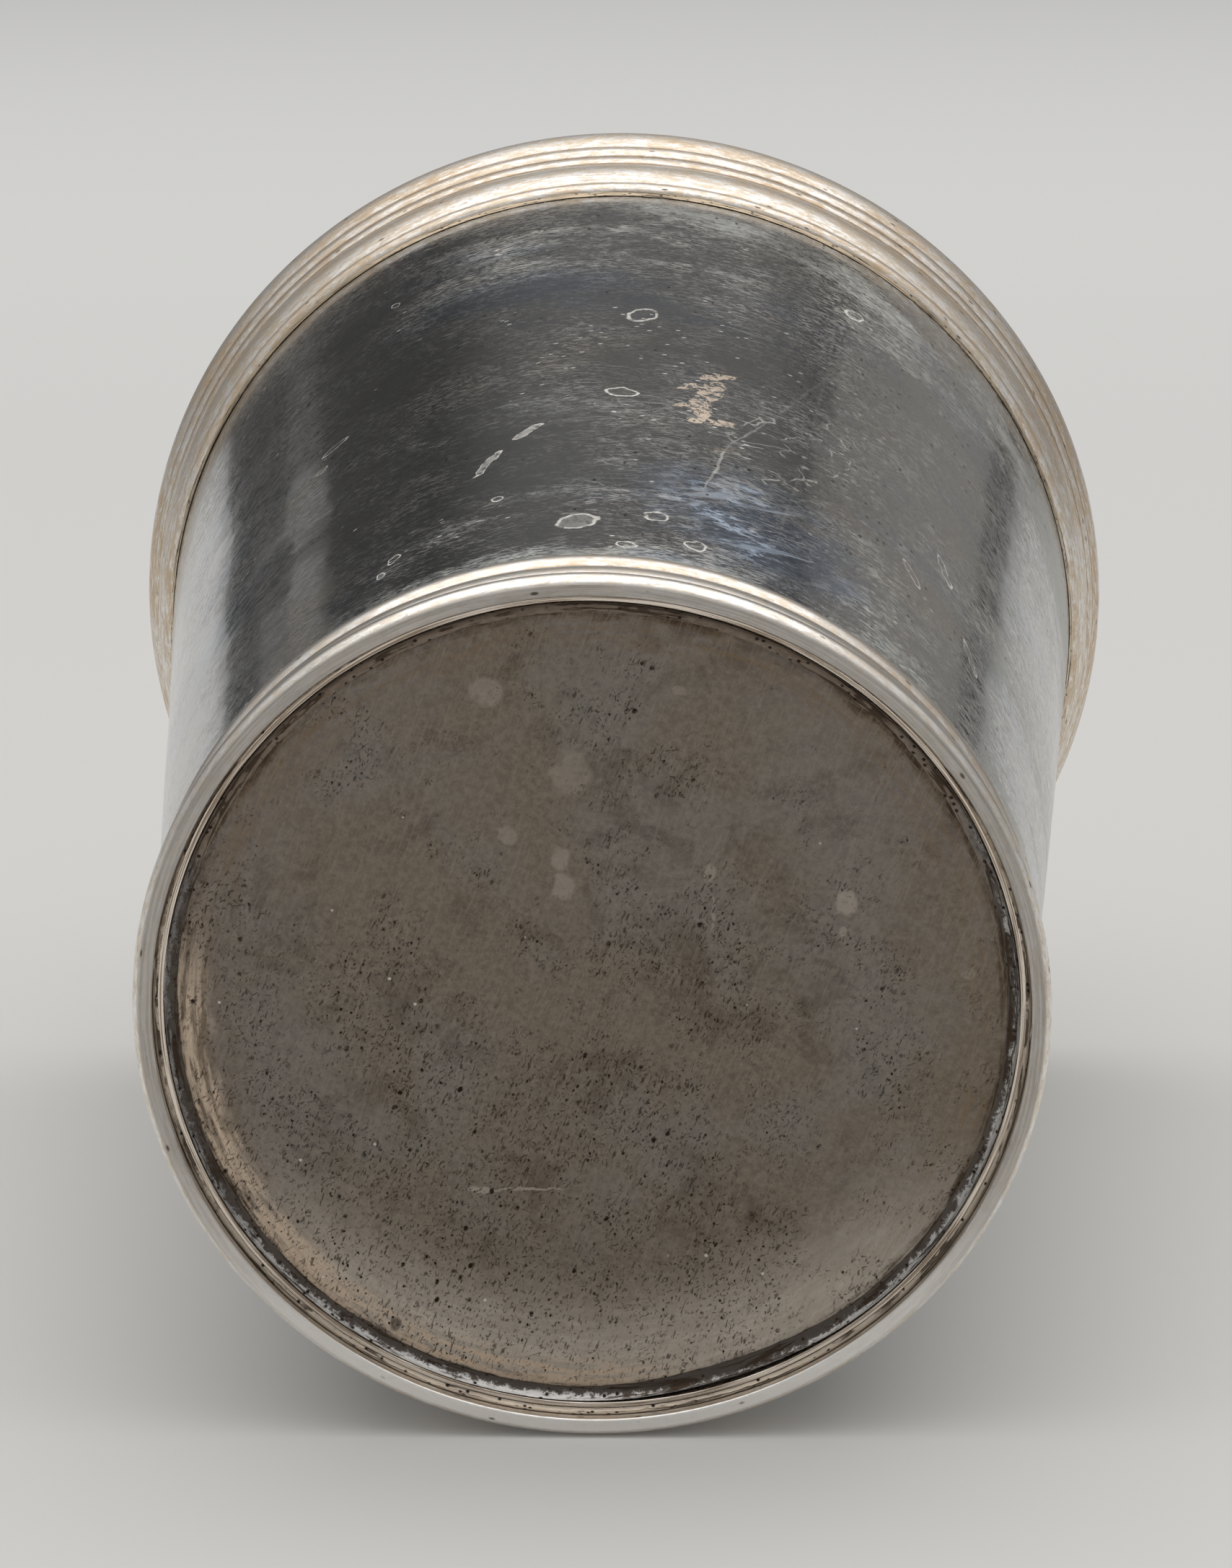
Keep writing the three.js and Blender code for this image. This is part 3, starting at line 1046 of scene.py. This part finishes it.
@dataclass
class Body(CupPiece):
    """The tapered wall, one sheet with a few soft dents."""

    edge_setback: float = 1.25
    top_setback: float = 0.15
    top_round: float = 0.35
    edge_round: float = 0.12
    round_steps: int = 3
    top_round_steps: int = 5
    rows: int = 84
    dents: tuple[Dent, ...] = rows_of(
        Dent, (-41, 34, 7.5, 0.10), (-33, 14, 5, 0.06), (38, 52, 11, 0.10), (63, 30, 9, 0.08),
        (6, 62, 10, 0.07), (-12, 24, 8, 0.05), (130, 44, 10, 0.16), (176, 68, 8, 0.12),
        (214, 30, 9, 0.14), (285, 56, 12, 0.12), (100, 20, 6, 0.08),
    )

    def build(self) -> Item:
        """Returns the finished wall."""
        top, low, edge = self.taper.height - self.top_setback, self.edge_setback, self.edge_round
        bend = QUARTER_ARC_SHARE * edge
        section = Section(self.taper.outer(low + edge), low + edge)
        section.line(self.taper.outer(top), top, cuts=self.rows)
        section.line(self.taper.inner(top) + self.top_round, top)
        section.arc(self.taper.inner(top - self.top_round), top - self.top_round,
                    QUARTER_ARC_SHARE * self.top_round, self.top_round_steps)
        section.line(self.taper.inner(low + edge), low + edge, cuts=self.rows)
        section.arc(self.taper.inner(low) + edge, low, bend, self.round_steps)
        section.line(self.taper.outer(low) - edge, low)
        section.arc(self.taper.outer(low + edge), low + edge, bend, self.round_steps)
        solid = section.turn(self.steps)
        self.wear.settle(solid, self.taper, self.dents)
        return self.put("body_wall", solid, BodySilver().dress(self.taper), Slot.BODY)


@dataclass
class Bottom(CupPiece):
    """The disc let into the wall, raised a little at its middle and slightly buckled."""

    setback: float = 1.9
    thickness: float = 1.0
    rise: float = 0.35
    rings: int = 48
    buckle: float = 0.05
    buckle_size: float = 13.0
    buckle_edge: int = 6

    def build(self) -> Item:
        """Returns the finished bottom."""
        low, high = self.setback, self.setback + self.thickness
        section = Section(0, low + self.rise)
        section.arc(self.taper.inner(low) - SOLDER_FILM, low, -self.rise / 4, self.rings)
        section.line(self.taper.inner(high) - SOLDER_FILM, high, cuts=2)
        section.arc(0, high + self.rise, self.rise / 4, self.rings)
        solid = section.turn(self.steps, closed=False)
        self.wear.settle(solid, self.taper)
        edge = self.taper.inner(low)
        for vert in solid.verts:
            flat = Vector((vert.co.x, vert.co.y, 0))
            inside = 1 - min(1.0, flat.length / edge) ** self.buckle_edge
            vert.co.z += inside * self.buckle * lumps(flat, self.buckle_size, 2)
        return self.put("bottom_disc", solid, BottomSilver(edge).dress(), Slot.BOTTOM)


@dataclass(frozen=True)
class Reed:
    """One reed of a moulding, in shares.

    Attributes:
        height: Its share of the stack's height.
        depth: The metal's share of the moulding's depth where the reed ends.
        proud: How far its crest stands from its chord, as a share of its own height.
    """

    height: float
    depth: float
    proud: float


@dataclass
class Moulding(CupPiece):
    """A ring of reeds round the body."""

    steps: int = 480
    arc_steps: int = 12
    groove_width: float = 0.16
    nick_count: int = 26
    nick_seed: int = 5
    nick_reach: Span = (0.5, 1.3)
    nick_depth: Span = (0.02, 0.07)
    grooves: list[float] = field(default_factory=list)

    def reeds(self, section: Section, low: float, stack: float, depth: float, reeds: tuple[Reed, ...]
              ) -> None:
        """Draws a stack of reeds and notes the height of each groove.

        Args:
            section: The outline, at the lowest reed's lower end.
            low: Height of that end.
            stack: Height of the whole stack.
            depth: The moulding's depth, of which each reed has a share.
            reeds: The reeds, upwards.
        """
        height = low
        for reed in reeds:
            height += reed.height * stack
            section.arc(self.taper.outer(height) + reed.depth * depth, height,
                        reed.proud * reed.height * stack, self.arc_steps)
            self.grooves.append(height)

    def nicks(self, low: float, high: float) -> list[Dent]:
        """Returns small knocks between two heights, the same at each run."""
        dice = random.Random(self.nick_seed)
        spans = ((0, 360), (low, high), self.nick_reach, self.nick_depth)
        return [Dent(*(dice.uniform(*span) for span in spans)) for _ in range(self.nick_count)]

    def mark_hollows(self, solid: Solid) -> None:
        """Stores how near each outer point is to a groove, for the finish to read."""
        layer = solid.verts.layers.float.new("hollow")
        for vert in solid.verts:
            radius = Vector((vert.co.x, vert.co.y)).length
            near = max(fall_off(vert.co.z - groove, self.groove_width) for groove in self.grooves)
            vert[layer] = near if radius > self.taper.outer(vert.co.z) else 0.0


@dataclass
class FootMoulding(Moulding):
    """The foot: a flat rim to stand on, then three half-round reeds."""

    rim_round: float = 0.2
    round_steps: int = 5
    rim_width: float = 0.82
    stack: float = 6.6
    profile: tuple[Reed, ...] = rows_of(
        Reed, (0.28, 0.61, 0.35), (0.395, 0.44, 0.16), (0.325, 0.1, 0.25),
    )
    stains: Curve = (
        (0, 0.25), (0.04, 0.08), (0.22, 0.08), (0.29, 0.7), (0.36, 0.15), (0.6, 0.2), (0.68, 0.75),
        (0.76, 0.25), (1, 0.6),
    )

    def build(self) -> Item:
        """Returns the finished foot moulding."""
        bed = self.taper.bed(0)
        section = Section(self.taper.bed(self.rim_round), self.rim_round)
        bend = QUARTER_ARC_SHARE * self.rim_round
        section.arc(bed + self.rim_round, 0, bend, self.round_steps)
        section.line(bed + self.rim_width, 0, cuts=3)
        self.reeds(section, 0, self.stack, self.rim_width, self.profile)
        section.line(self.taper.bed(self.stack), self.stack)
        solid = section.turn(self.steps)
        self.mark_hollows(solid)
        self.wear.settle(solid, self.taper, self.nicks(self.rim_round, self.stack))
        finish = MouldingSilver("foot_silver", 0, self.stack, self.stains, rim_top=self.rim_round)
        return self.put("foot_moulding", solid, finish.dress(), Slot.MOULDING)


@dataclass
class LipMoulding(Moulding):
    """The lip: a bead, a broad swelling, two fine reeds and a flaring band, rolled over on top."""

    nick_seed: int = 11
    depth: float = 2.14
    start_depth: float = 0.1
    stack: float = 9.3
    round_height: float = 0.72
    round_width: float = 0.8
    roll_share: float = 0.28
    roll_steps: int = 10
    top_fall: float = 0.12
    rough: float = 0.42
    cream: Colour = (0.73, 0.63, 0.505, 1)
    stains: Curve = (
        (0, 0.6), (0.095, 0.65), (0.115, 0.2), (0.2, 0.25), (0.26, 0.55), (0.37, 0.6), (0.41, 0.25),
        (0.46, 0.2), (0.49, 0.8), (0.53, 0.3), (0.6, 0.7), (0.66, 0.25), (0.72, 0.75), (0.82, 0.7),
        (0.86, 0.12), (0.91, 0.2), (0.95, 0.8),
    )
    profile: tuple[Reed, ...] = rows_of(
        Reed, (0.11, 0.29, 0.34), (0.405, 0.46, 0.12), (0.13, 0.55, 0.18), (0.13, 0.76, 0.17),
        (0.225, 1, 0.08),
    )

    @property
    def low(self) -> float:
        """Height of the moulding's lower edge."""
        return self.taper.height - self.round_height - self.stack

    def build(self) -> Item:
        """Returns the finished lip moulding."""
        top = self.taper.height
        section = Section(self.taper.bed(self.low), self.low)
        section.line(self.taper.outer(self.low) + self.start_depth, self.low)
        self.reeds(section, self.low, self.stack, self.depth, self.profile)
        crest = self.taper.outer(self.low + self.stack) + self.depth
        section.arc(crest - self.round_width, top, self.roll_share * self.round_width, self.roll_steps)
        section.line(self.taper.bed(top - self.top_fall), top - self.top_fall)
        self.grooves.pop()
        solid = section.turn(self.steps)
        self.mark_hollows(solid)
        self.wear.settle(solid, self.taper, self.nicks(self.low, top))
        finish = MouldingSilver("lip_silver", self.low, top, self.stains, self.rough, cream=self.cream)
        return self.put("lip_moulding", solid, finish.dress(), Slot.MOULDING)


@dataclass
class Solder(CupPiece):
    """The three fillets of solder, each a hollow corner with a rough face, of a width and a height."""

    steps: int = 720
    face_steps: int = 8
    hollow_share: float = 0.12
    rough_size: float = 0.7
    rough_depth: float = 0.05
    setback: float = 1.9
    edge_setback: float = 1.25
    lip_low: float = 85.23
    bottom_size: Span = (0.85, 0.55)
    foot_size: Span = (0.35, 0.4)
    lip_size: Span = (0.25, 0.35)
    flow: float = 0.5
    flow_angle: float = 71.0
    flow_reach: float = 15.0
    shade_width: float = 0.3
    foot_finish: SolderSilver = SolderSilver("foot_solder", bright=(0.50, 0.43, 0.35, 1),
                                             dull=(0.27, 0.22, 0.17, 1))
    lip_finish: SolderSilver = SolderSilver("lip_solder", bright=(0.80, 0.70, 0.56, 1),
                                            dull=(0.66, 0.54, 0.40, 1), brown=(0.55, 0.45, 0.33, 1))

    def fillet(self, node: str, finish: SolderSilver, start: Span, end: Span, corner: Span,
               flow: float = 0.0) -> Item:
        """Returns one finished fillet.

        Args:
            node: The node that it stands for.
            finish: Its finish.
            start: Radius and height where its open face starts.
            end: Radius and height where its open face ends.
            corner: Radius and height of the corner that it fills.
            flow: How much further its start runs out where most solder lies.
        """
        section = Section(*start)
        span = math.dist(start, end)
        section.arc(*end, -self.hollow_share * span, self.face_steps)
        section.line(*corner)
        solid = section.turn(self.steps)
        for vert in solid.verts:
            self.roughen(vert, Vector((corner[0], 0, corner[1])), span, flow)
        self.wear.settle(solid, self.taper)
        return self.put(node, solid, finish.dress(), Slot.SOLDER, crease=60)

    def roughen(self, vert: Corner, corner: Vector, span: float, flow: float) -> None:
        """Moves a point for the fillet's lumps and run-out, more the further it is from the corner."""
        radius = Vector((vert.co.x, vert.co.y)).length
        out = Vector((radius, 0, vert.co.z)) - corner
        if out.length < SOLDER_FILM:
            return
        share = out.length / span
        pull = self.rough_depth * (1 + lumps(vert.co, self.rough_size, 4)) * share
        angle = math.degrees(math.atan2(vert.co.y, vert.co.x))
        radius -= out.normalized().x * pull
        radius -= flow * share * fall_off(angle - self.flow_angle, self.flow_reach)
        vert.co.z -= out.normalized().z * pull
        vert.co.xy = vert.co.xy.normalized() * radius

    def build(self) -> list[Item]:
        """Returns the finished fillets: under the bottom, under the wall's edge, under the lip."""
        inner, outer, bed = self.taper.inner, self.taper.outer, self.taper.bed
        top = self.setback - SOLDER_FILM
        corner = inner(top) - SOLDER_FILM
        finish = SolderSilver("bottom_solder", corner - self.shade_width)
        width, height = self.bottom_size
        end = (inner(top - height) - SOLDER_FILM, top - height)
        bottom = self.fillet("bottom_solder", finish, (corner - width, top), end, (corner, top),
                             self.flow)
        edge = self.edge_setback - SOLDER_FILM
        width, height = self.foot_size
        foot = self.fillet("foot_moulding_solder", self.foot_finish, (outer(edge) - width, edge),
                           (outer(edge - height), edge - height), (outer(edge), edge))
        low = self.lip_low - SOLDER_FILM
        width, height = self.lip_size
        lip = self.fillet("lip_moulding_solder", self.lip_finish, (bed(low - height), low - height),
                          (bed(low) + width, low), (bed(low), low))
        return [bottom, foot, lip]


class Pose(Enum):
    """The two ways in which the cup is seen."""

    LYING = "lying"
    STANDING = "standing"


@dataclass(frozen=True)
class MainCamera:
    """The camera of the main view, which looks at the lying cup from under its foot.

    Attributes:
        place: Where it stands, in millimetres.
        tilt: Degrees that it looks down, past the cup's axis.
        pan: Degrees that it looks towards -X.
        focal_pixels: Its focal length, in pixels of a picture of the next height.
        picture_height: Height of the picture, in pixels.
        sensor: Size of its sensor, in millimetres of its own scale.
        nearest: Distance from which it sees.
        farthest: Distance up to which it sees.
    """

    place: Triple = (10.3, -125.3, -326.4)
    tilt: float = 18.51
    pan: float = 1.42
    focal_pixels: float = 7500.0
    picture_height: int = 2174
    sensor: float = 36.0
    nearest: float = 10.0
    farthest: float = 100000.0

    def stand(self) -> Matrix:
        """Returns the camera's place and direction, in metres."""
        tilt, pan = math.radians(self.tilt), math.radians(self.pan)
        up = Vector((0, -math.cos(tilt), math.sin(tilt)))
        ahead = Vector((-math.sin(pan), math.sin(tilt) * math.cos(pan), math.cos(tilt) * math.cos(pan)))
        turned = Matrix((ahead.cross(up), up, -ahead)).transposed()
        return Matrix.Translation(Vector(self.place) * MM) @ turned.to_4x4()

    def build(self) -> None:
        """Sets up the camera."""
        data = bpy.data.cameras.new("camera")
        data.sensor_width = self.sensor
        data.lens = self.focal_pixels * self.sensor / self.picture_height
        data.clip_start = self.nearest * MM
        data.clip_end = self.farthest * MM
        bpy.context.scene.camera = added("camera", data)
        bpy.context.scene.camera.matrix_world = self.stand()


@dataclass(frozen=True)
class Ground:
    """The two floors, and the panes that tell their rays apart.

    The cup lies on one floor in the main view and stands on the other in every other view. A few
    clear panes stand in front of the main camera. A ray that has come through them sees the lying
    cup's floor, and every other ray the standing cup's. Both are seen from above only, are matte
    near the cup, where they take its shadow, and are plain pale further off.

    Attributes:
        foot_crest: A point where the lying cup's foot rests.
        lip_crest: A point where its lip rests.
        lying_size: Length of the lying cup's floor's side.
        standing_size: Length of the other's.
        gap: How far the standing cup's floor is under its foot, so that their faces don't meet.
        colour: The floors' colour.
        far_colour: Their colour far off.
        lying_glow: Light that the lying cup's floor gives off near it.
        standing_glow: Light that the standing cup's gives off.
        near: Distance from the cup up to which a floor is matte.
        far: Distance from which it is plain pale.
        farthest: Distance from which it has the far colour.
        pane_count: Number of panes.
        pane_size: Length of a pane's side.
        pane_distance: Distance from the camera to the first pane.
        pane_gap: Distance from each pane to the next.
    """

    foot_crest: Triple = (0, 29.85, 0.84)
    lip_crest: Triple = (0, 38.64, 94.5)
    lying_size: float = 3400.0
    standing_size: float = 9000.0
    gap: float = 0.02
    colour: Colour = (0.64, 0.635, 0.62, 1)
    far_colour: Colour = (0.45, 0.45, 0.445, 1)
    lying_glow: float = 0.06
    standing_glow: float = 0.36
    near: float = 130.0
    far: float = 620.0
    farthest: float = 1600.0
    pane_count: int = 3
    pane_size: float = 120.0
    pane_distance: float = 110.0
    pane_gap: float = 5.0

    def sheet(self, name: str, size: float, place: Matrix, material: Material) -> None:
        """Adds a square to the stage that faces its own +Z and throws no shadow."""
        square = bmesh.new()
        bmesh.ops.create_grid(square, x_segments=1, y_segments=1, size=size / 2 * MM, matrix=place)
        sheet = added(name, mesh_of(square, name, material))
        sheet.visible_shadow = False
        sheet.visible_diffuse = False

    def paper(self, pose: Pose, glow: float) -> Material:
        """Returns a floor's material, clear from below and to rays of the other pose.

        Args:
            pose: The pose whose rays see the floor.
            glow: Light that it gives off near the cup, to stay pale where lamps don't reach.
        """
        recipe = Recipe(pose.value + "_floor", metallic=0.0)
        matte = recipe.add("BsdfDiffuse", {"Color": self.colour}).outputs[0]
        lift = recipe.add("Emission", {"Color": self.colour, "Strength": glow}).outputs[0]
        matte = recipe.add("AddShader", {0: matte, 1: lift}).outputs[0]
        away = recipe.along("LENGTH", recipe.place)
        distant = away.between(self.far, self.farthest)
        tint = recipe.blend(distant, self.colour, self.far_colour)
        plain = recipe.add("Emission", {"Color": tint, "Strength": 1.0}).outputs[0]
        far = away.between(self.near, self.far)
        paper = recipe.add("MixShader", {0: far, 1: matte, 2: plain}).outputs[0]
        depth = recipe.add("LightPath").outputs["Transparent Depth"]
        shown = recipe.sum("GREATER_THAN", depth, self.pane_count - 0.5)
        if pose is Pose.STANDING:
            shown = recipe.sum("SUBTRACT", 1.0, shown)
        behind = recipe.add("NewGeometry").outputs["Backfacing"]
        shown = shown * recipe.sum("SUBTRACT", 1.0, behind)
        clear = recipe.add("BsdfTransparent").outputs[0]
        mixed = recipe.add("MixShader", {0: shown, 1: clear, 2: paper})
        recipe.plug(mixed.outputs[0], recipe.output.inputs["Surface"])
        return recipe.material

    def glass(self) -> Material:
        """Returns the panes' material, which is perfectly clear."""
        recipe = Recipe("pane", metallic=0.0)
        clear = recipe.add("BsdfTransparent").outputs[0]
        recipe.plug(clear, recipe.output.inputs["Surface"])
        return recipe.material

    def build(self, camera: MainCamera) -> None:
        """Lays both floors, and stands the panes in front of the main camera."""
        foot, lip = Vector(self.foot_crest), Vector(self.lip_crest)
        across = Vector((1, 0, 0))
        upward = (lip - foot).cross(across).normalized() * -1
        turned = Matrix((across, upward.cross(across), upward)).transposed().to_4x4()
        self.sheet("lying_floor", self.lying_size, Matrix.Translation(foot * MM) @ turned,
                   self.paper(Pose.LYING, self.lying_glow))
        below = Matrix.Translation(Vector((0, 0, -self.gap * MM)))
        self.sheet("standing_floor", self.standing_size, below,
                   self.paper(Pose.STANDING, self.standing_glow))
        glass = self.glass()
        for count in range(self.pane_count):
            distance = (self.pane_distance + count * self.pane_gap) * MM
            place = camera.stand() @ Matrix.Translation(Vector((0, 0, -distance)))
            self.sheet(f"pane_{count}", self.pane_size, place, glass)


@dataclass(frozen=True)
class Lamp:
    """A soft rectangular lamp that the camera doesn't see.

    Attributes:
        name: Its name.
        place: Its centre, in millimetres.
        size: Its width and its height, in millimetres.
        radiance: How bright its face is, where 1 is white.
        level: Whether it faces straight down the Z axis, and not the middle of the cup.
        tint: Its colour.
    """

    name: str
    place: Triple
    size: Span
    radiance: float
    level: bool = True
    tint: Triple = (1, 1, 1)

    def build(self) -> None:
        """Hangs the lamp."""
        width, height = self.size[0] * MM, self.size[1] * MM
        data = bpy.data.lights.new(self.name, "AREA")
        data.shape = "RECTANGLE"
        data.size, data.size_y = width, height
        data.energy = self.radiance * math.pi * width * height
        data.color = self.tint
        lamp = added(self.name, data)
        lamp.location = Vector(self.place) * MM
        if not self.level:
            aim = (cad_low + cad_high) / 2 - lamp.location
            lamp.rotation_euler = aim.to_track_quat("-Z", "Y").to_euler()
        lamp.visible_camera = False


@dataclass(frozen=True)
class Studio:
    """Camera, floors and light: one broad lamp over the lying cup, dim panels past its lip."""

    camera: MainCamera = MainCamera()
    ground: Ground = Ground()
    lamps: tuple[Lamp, ...] = (
        Lamp("over_side", (0, -700, 120), (1100, 1000), 1.0, level=False),
        Lamp("right_panel", (500, -152, 1000), (344, 365), 0.25, tint=(1, 0.94, 0.87)),
        Lamp("left_panel_neck", (-432, -112, 1000), (36, 90), 0.27, tint=(1, 0.96, 0.91)),
        Lamp("left_panel", (-484, -110, 1000), (73, 210), 0.25, tint=(1, 0.96, 0.91)),
    )
    front_light: float = 0.72
    side_light: float = 0.28
    side_span: Span = (0.15, 0.9)
    fading_span: Span = (0.35, 0.86)
    sky_light: float = 0.07
    glow_light: float = 0.19
    glow_way: Triple = (0.06, -0.42, 0.905)
    glow_span: Span = (0.93, 0.995)
    warmth: Colour = (1.0, 0.99, 0.975, 1)

    def world(self) -> None:
        """Sets the light around: pale towards +Y and -Y, greyer between, dim above but for one glow."""
        world = bpy.data.worlds.new("studio")
        world.use_nodes = True
        world.cycles.sampling_method = "NONE"
        bpy.context.scene.world = world
        sky = NodeWork(world.node_tree)
        way = sky.add("TexCoord").outputs["Generated"]
        parts = sky.add("SeparateXYZ", {0: way}).outputs
        side = sky.sum("ABSOLUTE", parts["Y"])
        side = side.between(*self.side_span, self.side_light, self.front_light)
        low = Level(sky, parts["Z"]).between(*self.fading_span, 1, 0)
        glow = sky.along("DOT_PRODUCT", way, self.glow_way)
        glow = glow.between(*self.glow_span, self.sky_light, self.glow_light)
        background = world.node_tree.nodes["Background"].inputs
        sky.plug(side * low + glow, background["Strength"])
        sky.plug(self.warmth, background["Color"])

    def build(self) -> None:
        """Sets up the whole studio."""
        bpy.context.scene.view_settings.view_transform = "Standard"
        self.camera.build()
        self.ground.build(self.camera)
        for lamp in self.lamps:
            lamp.build()
        self.world()


def main() -> None:
    """Builds the cup and its stage, piece by piece."""
    logging.basicConfig(level=logging.INFO, format="%(name)s: %(message)s")
    taper, wear = Taper(), Wear()
    Studio().build()
    pieces = [
        Body(taper, wear).build(),
        Bottom(taper, wear).build(),
        FootMoulding(taper, wear).build(),
        LipMoulding(taper, wear).build(),
        *Solder(taper, wear).build(),
    ]
    log.info("built %d pieces", len(pieces))


if __name__ == "__main__":
    main()
